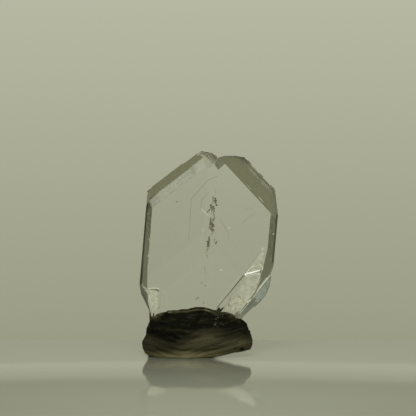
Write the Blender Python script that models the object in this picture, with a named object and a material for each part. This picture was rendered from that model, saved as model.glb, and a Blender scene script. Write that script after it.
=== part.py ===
"""A Japan-law twin of quartz with small crystals grown onto it, stood in a lump of mounting putty.

Two flattened quartz crystals share one twin plane, so their main axes stand about 84.5 degrees
apart and both plates lie in one plane, facing front and back. Each plate is cut out of a block by
the faces that quartz has: a prism face in front and behind, rhombohedron faces at the points and
along the upright sides, steep ones below, and prism faces in the notch between the two.

Lengths are in metres. X is to the right, Y to the back and Z up. The origin is on the surface that
the lump stands on, under the middle of the whole.
"""

import math

import bmesh
import bpy
from mathutils import Matrix, Vector, noise

MM = 0.001

# Angles of quartz, all from the ratio of its axes. A slope is measured from the main axis to a
# face's normal.
AXIAL_RATIO = 1.1
RHOMB = math.atan(AXIAL_RATIO / math.cos(math.radians(30)))
STEEP_RHOMB = math.atan(5 * math.tan(RHOMB))
MIDDLE_RHOMB = math.atan(2 * math.tan(RHOMB))
FLAT_RHOMB = math.atan(2 / 3 * math.tan(RHOMB))
PRISM = math.pi / 2
AXIS_TO_TWIN_PLANE = math.pi / 2 - math.atan(AXIAL_RATIO)

# The twin: its centre on the twin plane, how far that plane leans to the right, and the plates.
TWIN_CENTRE = Vector((0.05 * MM, 0, 21.78 * MM))
TWIN_LEAN = math.radians(5)
PLATE_THICKNESS = 3.6 * MM
PLATE_OVERLAP = 1.2 * MM
BURIED_END_HEIGHT = 3.2 * MM
BLOCK_SIZE = 60 * MM

# Each pair of faces meets in one edge of the outline: slope, azimuth about the main axis in
# degrees from the front towards the right, reach of the edge from the centre and its depth behind
# the front of the plate.
LEFT_FACES = (
    (RHOMB, 0, 12.9 * MM, 1.02 * MM),
    (RHOMB, -60, 11.7 * MM, 0.75 * MM),
    (RHOMB, 60, 14.62 * MM, 1.2 * MM),
    (STEEP_RHOMB, -60, 15.83 * MM, 1.8 * MM),
    (PRISM, 60, 9.62 * MM, 1.97 * MM),
)
RIGHT_FACES = (
    (RHOMB, 0, 14.14 * MM, 2.6 * MM),
    (RHOMB, 60, 12.05 * MM, 0.6 * MM),
    (FLAT_RHOMB, 60, 13.32 * MM, 1.3 * MM),
    (RHOMB, -60, 14.22 * MM, 1.8 * MM),
    (STEEP_RHOMB, 60, 13.33 * MM, 1.8 * MM),
    (PRISM, -60, 9.3 * MM, 3.1 * MM),
)

# Growth layers that stand proud at the points: extra reach, and where they start and end along
# the edge, from the main axis. Each lies inside the front and back of its plate.
LEFT_LEDGES = ((0.12 * MM, -4.1 * MM, 4.5 * MM), (0.25 * MM, -3.0 * MM, 3.9 * MM))
RIGHT_LEDGES = (
    (0.14 * MM, -5.1 * MM, -4.1 * MM),
    (0.12 * MM, -2.0 * MM, -1.0 * MM),
    (0.13 * MM, 1.0 * MM, 2.2 * MM),
)
LEDGE_ROOT = 3.0 * MM
LEDGE_FRONT_INSET = 0.14 * MM
LEDGE_BACK_INSET = 0.6 * MM
LEDGE_INSET_STEP = 0.06 * MM

# Slightly tilted growth faces on the back of each plate: reach of the break along the main axis,
# which side of it falls away, and by how many degrees.
LEFT_TILTS = ((0.65 * MM, 1, 2.0), (-3.02 * MM, -1, 1.5))
RIGHT_TILTS = ((-0.86 * MM, -1, 1.3),)

# Low growth hills on the front of the plates: outline as distances right of and above the twin
# centre, height at the steep side, and the direction in degrees in which each sinks into the face.
HILLS = (
    (
        ((-3.7, -5.2), (-3.33, 3.06), (-3.19, 6.48), (-1.26, 8.73), (0.0, 10.08),
         (1.44, 10.62), (4.2, 9.0), (4.6, -1.0), (2.2, -5.0)),
        0.075 * MM,
        -62,
    ),
    (
        ((-1.5, -2.0), (-1.44, 4.86), (-1.35, 6.21), (-0.18, 7.65), (1.2, 7.2), (1.9, 3.0), (1.4, -1.6)),
        0.1 * MM,
        -60,
    ),
)
HILL_ROOT = 0.5 * MM

# The columnar crystal that crosses the lower right of the plate, and the thin layer above it. Both
# share one main axis and stand in front of the plate by the first figure.
COLUMN_AXIS = math.radians(-38)
COLUMN_PROUD = 1.3 * MM
COLUMN_BACK = 0.7 * MM
COLUMN_FACES = (
    (PRISM, -60, -9.29 * MM, 0.1 * MM),
    (PRISM, 60, 13.2 * MM, 0.25 * MM),
    (RHOMB, -60, -7.79 * MM, 0.1 * MM),
    (MIDDLE_RHOMB, 60, 10.7 * MM, 0.1 * MM),
)
LAYER_PROUD = 0.4 * MM
LAYER_BACK = -0.9 * MM
LAYER_FACES = (
    (PRISM, -60, -9.4 * MM, 0.1 * MM),
    (RHOMB, 60, 9.35 * MM, 0.1 * MM),
    (MIDDLE_RHOMB, 60, 10.6 * MM, 0.1 * MM),
    (PRISM, 60, 12.9 * MM, 0.1 * MM),
)

# The stubby crystal at the lower left, with its main axis upright.
STUB_AXIS = 0.0
STUB_PROUD = 1.0 * MM
STUB_BACK = 0.5 * MM
STUB_FACES = (
    (PRISM, -60, 10.75 * MM, 0.6 * MM),
    (PRISM, 60, -8.3 * MM, 0.1 * MM),
    (RHOMB, 0, -9.4 * MM, 0.1 * MM),
    (RHOMB, 60, -13.3 * MM, 0.1 * MM),
)

# Small crystals outside the lower right edge: outline as distances right of and above the twin
# centre, front and back, and the width of the facets around them.
SPLINTERS = (
    (
        ((9.6, -7.2), (11.2, -7.35), (10.95, -9.1), (10.35, -10.65), (9.55, -11.75),
         (8.6, -12.75), (7.85, -12.5), (7.5, -11.7)),
        -0.9 * MM,
        1.0 * MM,
        0.35 * MM,
    ),
    (
        ((7.0, -12.4), (8.1, -12.95), (6.3, -14.7), (4.2, -17.3), (3.2, -16.6)),
        -0.5 * MM,
        0.9 * MM,
        0.2 * MM,
    ),
)

# The lump of putty: outline in the plate's plane, clockwise from the fold at its left, half its
# depth, how boxy it is from front to back, and its coarse kneading.
PUTTY_CENTRE = Vector((-2.1 * MM, 0, 3.6 * MM))
PUTTY_OUTLINE = (
    (-11.3, 4.3), (-11.3, 4.95), (-10.7, 6.1), (-10.1, 7.15), (-8.7, 8.0), (-6.4, 8.3), (-4.0, 8.4),
    (-1.1, 8.8), (1.2, 8.2), (4.2, 7.3), (6.5, 5.95), (7.6, 4.3), (7.9, 2.4), (7.0, 0.95), (4.5, 0.2),
    (0.0, -0.5), (-6.0, -0.9), (-10.4, -0.4), (-11.5, 0.6), (-12.15, 2.2), (-11.9, 3.4),
)
PUTTY_HALF_DEPTH = 6.5 * MM
PUTTY_BOXINESS = 2.5
PUTTY_SEGMENTS = 60
PUTTY_RINGS = 26
KNEAD_HEIGHT = 0.3 * MM
KNEAD_LENGTH = 4.5 * MM
KNEAD_SLOPE = math.radians(24)
KNEAD_STRETCH = 3.0
FOLD_DEPTH = 0.45 * MM
FOLD_WIDTH = 0.55 * MM
FOLD_HEIGHT = 4.5 * MM
FOLD_RISE = 0.12
FOLD_END = -3.0 * MM
POCKET_GAP = 0.3 * MM

CUT_DISTANCE = 1e-7
MERGE_DISTANCE = 1e-6
BACK = Vector((0, 1, 0))


def clear_scene():
    """Removes everything that the scene holds at the start."""
    for thing in list(bpy.data.objects):
        bpy.data.objects.remove(thing, do_unlink=True)


def make_material(name, colour, roughness, transmission=0.0):
    """A Principled material: clear where transmission is 1."""
    material = bpy.data.materials.new(name)
    material.use_nodes = True
    shader = material.node_tree.nodes["Principled BSDF"]
    shader.inputs["Base Color"].default_value = (*colour, 1)
    shader.inputs["Roughness"].default_value = roughness
    shader.inputs["Metallic"].default_value = 0
    shader.inputs["IOR"].default_value = 1.544
    shader.inputs["Transmission Weight"].default_value = transmission
    return material


def object_of(name, shape, material):
    """Turns a bmesh into an object, faces outwards."""
    bmesh.ops.remove_doubles(shape, verts=shape.verts[:], dist=MERGE_DISTANCE)
    bmesh.ops.recalc_face_normals(shape, faces=shape.faces[:])
    mesh = bpy.data.meshes.new(name)
    shape.to_mesh(mesh)
    shape.free()
    mesh.materials.append(material)
    made = bpy.data.objects.new(name, mesh)
    bpy.context.scene.collection.objects.link(made)
    return made


def hide_helper(helper):
    """Keeps a shape that only joins or cuts another out of the render."""
    helper.hide_render = True
    helper.display_type = "WIRE"


def combine(target, helper, operation):
    """Joins a helper to the target or cuts it out of it, and hides the helper."""
    hide_helper(helper)
    step = target.modifiers.new(helper.name, "BOOLEAN")
    step.object = helper
    step.operation = operation
    step.solver = "EXACT"


def in_plane(turn):
    """The direction in the plate's plane that is turned anticlockwise from straight up."""
    return Vector((-math.sin(turn), 0, math.cos(turn)))


def cut_away(shape, point, normal):
    """Cuts off what lies beyond a plane and closes the cut."""
    found = bmesh.ops.bisect_plane(
        shape,
        geom=shape.verts[:] + shape.edges[:] + shape.faces[:],
        dist=CUT_DISTANCE,
        plane_co=point,
        plane_no=normal,
        clear_outer=True,
    )
    rim = [item for item in found["geom_cut"] if isinstance(item, bmesh.types.BMEdge)]
    if rim:
        bmesh.ops.contextual_create(shape, geom=rim)


def face_normals(turn, slope, azimuth):
    """A face's direction in the plate's plane, and the normals of it and of its mirror image behind."""
    main_axis = in_plane(turn)
    side = in_plane(turn - math.pi / 2)
    around = math.radians(azimuth)
    flat = main_axis * math.cos(slope) + side * (math.sin(slope) * math.sin(around))
    depth = math.sin(slope) * math.cos(around)
    return flat.normalized(), flat - BACK * depth, flat + BACK * depth


def block(front, back):
    """A block from the front plane to the back one, wide enough for any crystal here."""
    shape = bmesh.new()
    middle = TWIN_CENTRE + BACK * (front + back) / 2
    size = Matrix.Diagonal((BLOCK_SIZE, back - front, BLOCK_SIZE, 1))
    bmesh.ops.create_cube(shape, size=1, matrix=Matrix.Translation(middle) @ size)
    return shape


def cut_pair(shape, turn, face, grow):
    """Cuts one pair of faces that meet in an edge of the plate's outline."""
    slope, azimuth, reach, depth = face
    flat, front_normal, back_normal = face_normals(turn, slope, azimuth)
    edge = TWIN_CENTRE + flat * reach + BACK * (depth - PLATE_THICKNESS / 2)
    cut_away(shape, edge + front_normal * grow, front_normal)
    cut_away(shape, edge + back_normal * grow, back_normal)


def cut_tilt(shape, turn, tilt, grow):
    """Lets the back of a plate fall away from a break across its main axis."""
    reach, side, degrees = tilt
    angle = math.radians(degrees)
    main_axis = in_plane(turn)
    line = TWIN_CENTRE + main_axis * reach + BACK * (PLATE_THICKNESS / 2 + grow)
    cut_away(shape, line, BACK * math.cos(angle) + main_axis * (side * math.sin(angle)))


def plate(turn, faces, tilts, inward, grow=0.0):
    """One of the two twinned plates, with every face moved out by grow."""
    half = PLATE_THICKNESS / 2 + grow
    shape = block(-half, half)
    for face in faces:
        cut_pair(shape, turn, face, grow)
    across = in_plane(-TWIN_LEAN - math.pi / 2) * inward
    cut_away(shape, TWIN_CENTRE + across * PLATE_OVERLAP, across)
    for tilt in tilts:
        cut_tilt(shape, turn, tilt, grow)
    return shape


def ledge(turn, point_face, number, proud, start, end):
    """A growth layer on the point of a plate, between two places along its edge."""
    slope, azimuth, reach, depth = point_face
    half = PLATE_THICKNESS / 2
    step = LEDGE_INSET_STEP * number
    shape = block(step + LEDGE_FRONT_INSET - half, half - LEDGE_BACK_INSET - step)
    cut_pair(shape, turn, (slope, azimuth, reach + proud, depth), 0.0)
    main_axis = in_plane(turn)
    side = in_plane(turn - math.pi / 2)
    cut_away(shape, TWIN_CENTRE + main_axis * (reach - LEDGE_ROOT), -main_axis)
    cut_away(shape, TWIN_CENTRE + side * start, -side)
    cut_away(shape, TWIN_CENTRE + side * end, side)
    return shape


def slab(outline, front, back):
    """A flat outline around the twin centre, in millimetres, carried from front to back."""
    shape = bmesh.new()
    corners = [
        shape.verts.new(TWIN_CENTRE + Vector((x * MM, front, z * MM))) for x, z in outline
    ]
    face = shape.faces.new(corners)
    drawn = bmesh.ops.extrude_face_region(shape, geom=[face])
    moved = [item for item in drawn["geom"] if isinstance(item, bmesh.types.BMVert)]
    bmesh.ops.translate(shape, verts=moved, vec=BACK * (back - front))
    return shape


def hill(outline, height, sink_degrees):
    """A low growth hill on the front, steep on one side and sinking into the face on the other."""
    front = -PLATE_THICKNESS / 2
    shape = slab(outline, front - height, front + HILL_ROOT)
    away = in_plane(math.radians(sink_degrees))
    distances = [away.dot(Vector((x * MM, 0, z * MM))) for x, z in outline]
    start, length = min(distances), max(distances) - min(distances)
    fall = math.atan2(height * 1.15, length)
    crest = TWIN_CENTRE + away * start + BACK * (front - height)
    cut_away(shape, crest, away * math.sin(fall) - BACK * math.cos(fall))
    return shape


def grown_crystal(turn, faces, proud, back, grow=0.0):
    """A small crystal standing out of the front of the plate, rooted inside it."""
    shape = block(-PLATE_THICKNESS / 2 - proud - grow, back + grow)
    for face in faces:
        cut_pair(shape, turn, face, grow)
    return shape


def splinter(outline, front, back, facet, grow=0.0):
    """A small crystal with a facet around its front and back."""
    shape = slab(outline, front, back)
    bmesh.ops.recalc_face_normals(shape, faces=shape.faces[:])
    rims = [edge for edge in shape.edges if abs(edge.verts[0].co.y - edge.verts[1].co.y) < facet / 2]
    bmesh.ops.bevel(
        shape, geom=rims, offset=facet, affect="EDGES", segments=1, profile=0.5, material=-1
    )
    shape.normal_update()
    moves = [vert.normal * (vert.calc_shell_factor() * grow) for vert in shape.verts]
    for vert, move in zip(shape.verts, moves):
        vert.co += move
    return shape


def left_turn():
    """The turn of the left plate's main axis from straight up."""
    return AXIS_TO_TWIN_PLANE - TWIN_LEAN


def right_turn():
    """The turn of the right plate's main axis from straight up."""
    return -AXIS_TO_TWIN_PLANE - TWIN_LEAN


def crystal_shapes(grow=0.0):
    """The crystals that reach into the putty, as (name, shape)."""
    return [
        ("left_plate", plate(left_turn(), LEFT_FACES, LEFT_TILTS, 1, grow)),
        ("right_plate", plate(right_turn(), RIGHT_FACES, RIGHT_TILTS, -1, grow)),
        ("column", grown_crystal(COLUMN_AXIS, COLUMN_FACES, COLUMN_PROUD, COLUMN_BACK, grow)),
        ("stub", grown_crystal(STUB_AXIS, STUB_FACES, STUB_PROUD, STUB_BACK, grow)),
        ("splinter_low", splinter(*SPLINTERS[1], grow)),
    ]


def surface_shapes():
    """What else is grown onto the plates above the putty, as (name, shape)."""
    shapes = [
        ("layer", grown_crystal(COLUMN_AXIS, LAYER_FACES, LAYER_PROUD, LAYER_BACK)),
        ("splinter_high", splinter(*SPLINTERS[0])),
    ]
    for number, size in enumerate(LEFT_LEDGES):
        made = ledge(left_turn(), LEFT_FACES[0], number, *size)
        shapes.append((f"left_ledge_{number}", made))
    for number, size in enumerate(RIGHT_LEDGES):
        made = ledge(right_turn(), RIGHT_FACES[0], number, *size)
        shapes.append((f"right_ledge_{number}", made))
    for number, one in enumerate(HILLS):
        shapes.append((f"hill_{number}", hill(*one)))
    return shapes


def base_cutter(height):
    """A block over everything below a height."""
    shape = block(-BLOCK_SIZE / 2, BLOCK_SIZE / 2)
    cut_away(shape, Vector((0, 0, height)), Vector((0, 0, 1)))
    return shape


def join_crystals(name, shapes, base_height, material):
    """Joins crystals into one solid and cuts it off at its base."""
    whole = object_of(name, shapes[0][1], material)
    for part_name, shape in shapes[1:]:
        combine(whole, object_of(f"{name}_{part_name}", shape, material), "UNION")
    cutter = object_of(f"{name}_base", base_cutter(base_height), material)
    combine(whole, cutter, "DIFFERENCE")
    return whole


def outline_knots():
    """The lump's outline as (angle, reach) around its centre, overlapping itself at both ends."""
    centre = PUTTY_CENTRE / MM
    polar = sorted(
        (math.atan2(z - centre.z, x - centre.x), math.hypot(x - centre.x, z - centre.z))
        for x, z in PUTTY_OUTLINE
    )
    before = [(angle - 2 * math.pi, reach) for angle, reach in polar[-2:]]
    after = [(angle + 2 * math.pi, reach) for angle, reach in polar[:2]]
    return before + polar + after


def outline_reach(knots, angle):
    """How far the lump reaches from its centre in a direction in the plate's plane."""
    after = next(place for place, knot in enumerate(knots) if knot[0] > angle)
    return smooth_between(knots[after - 2 : after + 2], angle) * MM


def smooth_between(knots, place):
    """A smooth curve through four (place, value) knots, read between the middle two."""
    (p0, v0), (p1, v1), (p2, v2), (p3, v3) = knots
    share = (place - p1) / (p2 - p1)
    slope_in = (v2 - v0) / (p2 - p0) * (p2 - p1)
    slope_out = (v3 - v1) / (p3 - p1) * (p2 - p1)
    square, cube = share**2, share**3
    return (
        (2 * cube - 3 * square + 1) * v1
        + (cube - 2 * square + share) * slope_in
        + (3 * square - 2 * cube) * v2
        + (cube - square) * slope_out
    )


def kneading(place):
    """The height of the long ridges that kneading leaves, at a place on the lump."""
    along = place.x * math.cos(KNEAD_SLOPE) + place.z * math.sin(KNEAD_SLOPE)
    across = place.z * math.cos(KNEAD_SLOPE) - place.x * math.sin(KNEAD_SLOPE)
    streak = Vector((along / KNEAD_STRETCH, place.y / KNEAD_STRETCH, across)) / KNEAD_LENGTH
    return KNEAD_HEIGHT * noise.noise(streak * 2)


def fold(place):
    """The depth of the fold that runs into the lump from its left end."""
    line = FOLD_HEIGHT + FOLD_RISE * (place.x - PUTTY_CENTRE.x)
    reach = min(max((FOLD_END - place.x) / (4 * MM), 0.0), 1.0)
    return FOLD_DEPTH * reach * math.exp(-(((place.z - line) / FOLD_WIDTH) ** 2))


def putty_point(knots, direction):
    """Where a direction from the lump's centre meets its kneaded surface."""
    flat = math.hypot(direction.x, direction.z)
    reach = outline_reach(knots, math.atan2(direction.z, direction.x))
    power = PUTTY_BOXINESS
    size = ((flat / reach) ** power + (abs(direction.y) / PUTTY_HALF_DEPTH) ** power) ** (-1 / power)
    place = PUTTY_CENTRE + direction * size
    return place + direction * (kneading(place) - fold(place))


def build_putty(material, crystal_material):
    """The lump of putty, flat underneath, with a pocket around the buried end of the crystal."""
    shape = bmesh.new()
    upright = Matrix.Rotation(math.pi / 2, 4, "X")
    bmesh.ops.create_uvsphere(
        shape, u_segments=PUTTY_SEGMENTS, v_segments=PUTTY_RINGS, radius=1, matrix=upright
    )
    knots = outline_knots()
    for vert in shape.verts:
        vert.co = putty_point(knots, vert.co.normalized())
    cut_away(shape, Vector((0, 0, 0)), Vector((0, 0, -1)))
    lump = object_of("mounting_putty", shape, material)
    pocket = join_crystals(
        "pocket", crystal_shapes(POCKET_GAP), BURIED_END_HEIGHT - POCKET_GAP, crystal_material
    )
    combine(lump, pocket, "DIFFERENCE")
    return lump


def main():
    """Builds the twin and the lump that it stands in."""
    clear_scene()
    quartz = make_material("clear quartz", (0.93, 0.95, 0.92), 0.02, 1.0)
    putty = make_material("kneaded putty", (0.05, 0.045, 0.03), 0.6)
    join_crystals(
        "twin_crystal", crystal_shapes() + surface_shapes(), BURIED_END_HEIGHT, quartz
    )
    build_putty(putty, quartz)


main()
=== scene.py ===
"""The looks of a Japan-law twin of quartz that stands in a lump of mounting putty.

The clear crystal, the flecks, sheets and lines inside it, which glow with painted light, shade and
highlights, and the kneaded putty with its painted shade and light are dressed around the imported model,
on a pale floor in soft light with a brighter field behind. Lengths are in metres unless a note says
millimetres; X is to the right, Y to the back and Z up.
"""

import logging
import math
import random
from dataclasses import dataclass, field

import bmesh
import bpy
from mathutils import Matrix, Vector, noise
from mathutils.bvhtree import BVHTree


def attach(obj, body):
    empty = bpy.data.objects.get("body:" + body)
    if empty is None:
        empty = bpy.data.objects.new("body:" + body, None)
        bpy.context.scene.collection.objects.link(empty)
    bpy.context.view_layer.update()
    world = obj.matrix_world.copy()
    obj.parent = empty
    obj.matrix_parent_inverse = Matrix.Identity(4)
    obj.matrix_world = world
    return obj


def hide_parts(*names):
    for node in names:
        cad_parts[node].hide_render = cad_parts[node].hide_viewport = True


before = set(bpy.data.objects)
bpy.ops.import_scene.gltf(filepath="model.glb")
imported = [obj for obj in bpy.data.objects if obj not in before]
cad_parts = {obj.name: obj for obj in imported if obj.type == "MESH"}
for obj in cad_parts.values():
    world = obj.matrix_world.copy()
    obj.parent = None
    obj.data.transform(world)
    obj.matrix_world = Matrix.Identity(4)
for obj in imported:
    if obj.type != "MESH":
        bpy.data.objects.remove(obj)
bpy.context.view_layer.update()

MM = 0.001
MERGE = 0.5e-6
NOISE_SEED = 3
BODY = "root"
CRYSTAL_NODE = "twin_crystal"
PUTTY_NODE = "mounting_putty"
TWIN_CENTRE = Vector((0.05 * MM, 0.0, 21.78 * MM))

Piece = bpy.types.Object
Socket = bpy.types.NodeSocket
Colour = tuple[float, float, float, float]
Place = tuple[float, float]
Range = tuple[float, float]

log = logging.getLogger("twin")


def srgb(red: int, green: int, blue: int) -> Colour:
    """A colour as seen, from 0 to 255, turned into Blender's linear light.

    Args:
        red: Red, 0 to 255.
        green: Green, 0 to 255.
        blue: Blue, 0 to 255.

    Returns:
        Linear red, green, blue and an alpha of 1.
    """
    parts = [part / 255 for part in (red, green, blue)]
    linear = [part / 12.92 if part <= 0.04045 else ((part + 0.055) / 1.055) ** 2.4 for part in parts]
    return (*linear, 1.0)


def limited(value: float) -> float:
    """Keeps a number between 0 and 1."""
    return max(0.0, min(1.0, value))


def near_centre(right: float, up: float, back: float = 0.0) -> Vector:
    """A place given in millimetres right of, above and behind the twin's centre."""
    return TWIN_CENTRE + Vector((right * MM, back * MM, up * MM))


def linked(name: str, data: bpy.types.ID) -> Piece:
    """Makes an object at the origin from its data and puts it into the scene."""
    made = bpy.data.objects.new(name, data)
    bpy.context.scene.collection.objects.link(made)
    return made


def object_of(name: str, shape: bmesh.types.BMesh, smooth: bool = False) -> Piece:
    """Turns a bmesh into an object at the origin and frees it.

    Args:
        name: The piece's name.
        shape: The finished shape, in world places.
        smooth: Whether its faces are shaded smooth.

    Returns:
        The new object, linked into the scene.
    """
    mesh = bpy.data.meshes.new(name)
    shape.to_mesh(mesh)
    shape.free()
    if smooth:
        mesh.shade_smooth()
    return linked(name, mesh)


def merged_copy(node: str) -> bmesh.types.BMesh:
    """Copies a CAD node's mesh and merges its loose triangles."""
    shape = bmesh.new()
    shape.from_mesh(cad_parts[node].data)
    bmesh.ops.remove_doubles(shape, verts=shape.verts[:], dist=MERGE)
    return shape


class Nodes:
    """A short way to add and join shader nodes."""

    def __init__(self, tree: bpy.types.NodeTree) -> None:
        """Keeps the tree that the nodes go into."""
        self.tree = tree

    def add(self, kind: str, **settings: object) -> bpy.types.Node:
        """Adds a node.

        Args:
            kind: Blender's name of the node type.
            **settings: Properties of the node and their values.

        Returns:
            The new node.
        """
        node = self.tree.nodes.new(kind)
        for name, value in settings.items():
            setattr(node, name, value)
        return node

    def set(self, node: bpy.types.Node, **values: object) -> None:
        """Sets a node's sockets by name, with underscores for spaces."""
        for name, value in values.items():
            node.inputs[name.replace("_", " ")].default_value = value

    def join(self, source: Socket, target: Socket) -> None:
        """Links one socket to another."""
        self.tree.links.new(source, target)

    def feed(self, value: object, socket: Socket) -> None:
        """Links a socket into another, or sets it to a number or colour."""
        if isinstance(value, Socket):
            self.join(value, socket)
        else:
            socket.default_value = value

    def math(self, operation: str, *values: object) -> Socket:
        """Adds a Math node on sockets or numbers and returns its result."""
        node = self.add("ShaderNodeMath", operation=operation)
        for value, socket in zip(values, node.inputs):
            self.feed(value, socket)
        return node.outputs[0]

    def object_place(self) -> Socket:
        """The place on the object."""
        return self.add("ShaderNodeTexCoord").outputs["Object"]

    def parts(self, vector: Socket) -> bpy.types.NodeOutputs:
        """Splits a place or direction into its X, Y and Z."""
        node = self.add("ShaderNodeSeparateXYZ")
        self.join(vector, node.inputs[0])
        return node.outputs

    def spread(
        self,
        value: Socket,
        source: Range = (0.0, 1.0),
        target: tuple[object, object] = (0.0, 1.0),
        smooth: bool = False,
    ) -> Socket:
        """Maps one range of numbers onto another and stops at its ends.

        Args:
            value: The number to map.
            source: Where its range starts and ends.
            target: The numbers or sockets for that start and end.
            smooth: Whether it eases in and out.

        Returns:
            The mapped number.
        """
        node = self.add("ShaderNodeMapRange", interpolation_type="SMOOTHSTEP" if smooth else "LINEAR")
        self.set(node, From_Min=source[0], From_Max=source[1])
        self.feed(target[0], node.inputs["To Min"])
        self.feed(target[1], node.inputs["To Max"])
        self.join(value, node.inputs["Value"])
        return node.outputs[0]

    def clouds(self, place: Socket, scale: float, detail: float, roughness: float = 0.5) -> Socket:
        """A noise pattern over a place, about 0 to 1.

        Args:
            place: The place.
            scale: How often it turns.
            detail: How many finer patterns it holds.
            roughness: How strong those are.

        Returns:
            The pattern's height.
        """
        node = self.add("ShaderNodeTexNoise")
        self.set(node, Scale=scale, Detail=detail, Roughness=roughness)
        self.join(place, node.inputs["Vector"])
        return node.outputs["Fac"]

    def bump(self, shader: bpy.types.Node, height: Socket, distance: float, strength: object) -> None:
        """Gives a shader a fine relief.

        Args:
            shader: The shader.
            height: The relief, from 0 to 1.
            distance: How high 1 is.
            strength: How much of it shows, a number or a socket.
        """
        node = self.add("ShaderNodeBump")
        self.set(node, Distance=distance)
        self.feed(strength, node.inputs["Strength"])
        self.join(height, node.inputs["Height"])
        self.join(node.outputs[0], shader.inputs["Normal"])

    def blend(self, factor: Socket, first: object, second: object) -> Socket:
        """Mixes two colours or colour sockets.

        Args:
            factor: How much of the second colour there is.
            first: The first colour or socket.
            second: The second colour or socket.

        Returns:
            The mixed colour.
        """
        node = self.add("ShaderNodeMix", data_type="RGBA")
        self.join(factor, node.inputs["Factor"])
        self.feed(first, node.inputs[6])
        self.feed(second, node.inputs[7])
        return node.outputs[2]

    def ramp(self, factor: Socket, stops: list[tuple[float, Colour]]) -> Socket:
        """Adds a Color Ramp.

        Args:
            factor: What drives it, from 0 to 1.
            stops: Places and colours, lowest first.

        Returns:
            The ramp's colour.
        """
        node = self.add("ShaderNodeValToRGB")
        ramp = node.color_ramp
        while len(ramp.elements) < len(stops):
            ramp.elements.new(0.5)
        for element, (place, colour) in zip(ramp.elements, stops):
            element.position = place
            element.color = colour
        self.join(factor, node.inputs[0])
        return node.outputs[0]


def new_material(name: str) -> tuple[bpy.types.Material, Nodes, bpy.types.Node]:
    """A fresh material with its Principled shader.

    Args:
        name: The material's name.

    Returns:
        The material, its nodes and the shader node.
    """
    material = bpy.data.materials.new(name)
    material.use_nodes = True
    shader = material.node_tree.nodes["Principled BSDF"]
    return material, Nodes(material.node_tree), shader


@dataclass(frozen=True)
class Chevrons:
    """Growth bands that meet at an angle over the twin plane."""

    slope: float
    scale: float
    share: float


@dataclass(frozen=True)
class ClearQuartz:
    """Clear quartz: see-through, with faint growth relief and slightly matt prism and rhomb faces."""

    refraction: float = 1.544
    tint: Colour = (0.90, 0.93, 0.80, 1.0)
    density: float = 12.0
    face_roughness: float = 0.0
    side_roughness: float = 0.06
    top_roughness: float = 0.30
    broad_facing: Range = (0.97, 0.99)
    rhomb_facing: float = 0.786
    rhomb_spread: float = 0.06
    rhomb_rise: float = 0.25
    rhomb_slope: float = 0.76
    rhomb_foot: float = 34.6 * MM
    relief_fade: float = 1.6 * MM
    relief_height: float = 0.06 * MM
    chevrons: tuple[Chevrons, ...] = (Chevrons(1.4, 260.0, 1.0), Chevrons(0.72, 190.0, 1.2))

    def growth_height(self, nodes: Nodes, place: Socket) -> Socket:
        """Adds the growth relief: low bands that meet at an angle over the twin plane.

        Args:
            nodes: The material's nodes.
            place: The object's coordinates.

        Returns:
            The height, about 0 to 1.
        """
        parts = nodes.parts(place)
        sideways = nodes.math("ABSOLUTE", parts["X"])
        height: Socket | float = 0.0
        for chevrons in self.chevrons:
            bands = nodes.add("ShaderNodeTexNoise", noise_dimensions="1D")
            nodes.set(bands, Scale=chevrons.scale, Detail=1.0)
            layer = nodes.math("ADD", parts["Z"], nodes.math("MULTIPLY", sideways, chevrons.slope))
            nodes.join(layer, bands.inputs["W"])
            height = nodes.math("ADD", nodes.math("MULTIPLY", bands.outputs["Fac"], chevrons.share), height)
        return height

    def below_rhombs(self, nodes: Nodes, place: Socket) -> Socket:
        """Lets the growth relief fade out towards the sloping rhomb faces.

        Args:
            nodes: The material's nodes.
            place: The object's coordinates.

        Returns:
            1 over the broad faces, 0 beside the rhomb faces.
        """
        parts = nodes.parts(place)
        sideways = nodes.math("MULTIPLY", nodes.math("ABSOLUTE", parts["X"]), self.rhomb_slope)
        reach = (self.rhomb_foot - self.relief_fade, self.rhomb_foot)
        return nodes.spread(nodes.math("ADD", parts["Z"], sideways), reach, (1.0, 0.0))

    def material(self) -> bpy.types.Material:
        """Builds the see-through material."""
        material, nodes, shader = new_material("clear_quartz")
        nodes.set(shader, Base_Color=(1.0, 1.0, 1.0, 1.0), IOR=self.refraction, Transmission_Weight=1.0)
        place = nodes.object_place()
        facing = nodes.parts(nodes.add("ShaderNodeNewGeometry").outputs["True Normal"])
        sloping = nodes.math("COMPARE", facing["Y"], -self.rhomb_facing, self.rhomb_spread)
        upward = nodes.math("GREATER_THAN", facing["Z"], self.rhomb_rise)
        rhombs = nodes.math("MULTIPLY", sloping, upward)
        slanted = nodes.spread(rhombs, target=(self.side_roughness, self.top_roughness))
        level = nodes.math("ABSOLUTE", facing["Y"])
        roughness = nodes.spread(level, self.broad_facing, (slanted, self.face_roughness))
        nodes.join(roughness, shader.inputs["Roughness"])
        front = nodes.spread(nodes.math("MULTIPLY", facing["Y"], -1.0), self.broad_facing)
        strength = nodes.math("MULTIPLY", front, self.below_rhombs(nodes, place))
        nodes.bump(shader, self.growth_height(nodes, place), self.relief_height, strength)
        volume = nodes.add("ShaderNodeVolumeAbsorption")
        nodes.set(volume, Color=self.tint, Density=self.density)
        output = material.node_tree.nodes["Material Output"]
        nodes.join(volume.outputs[0], output.inputs["Volume"])
        return material


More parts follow.
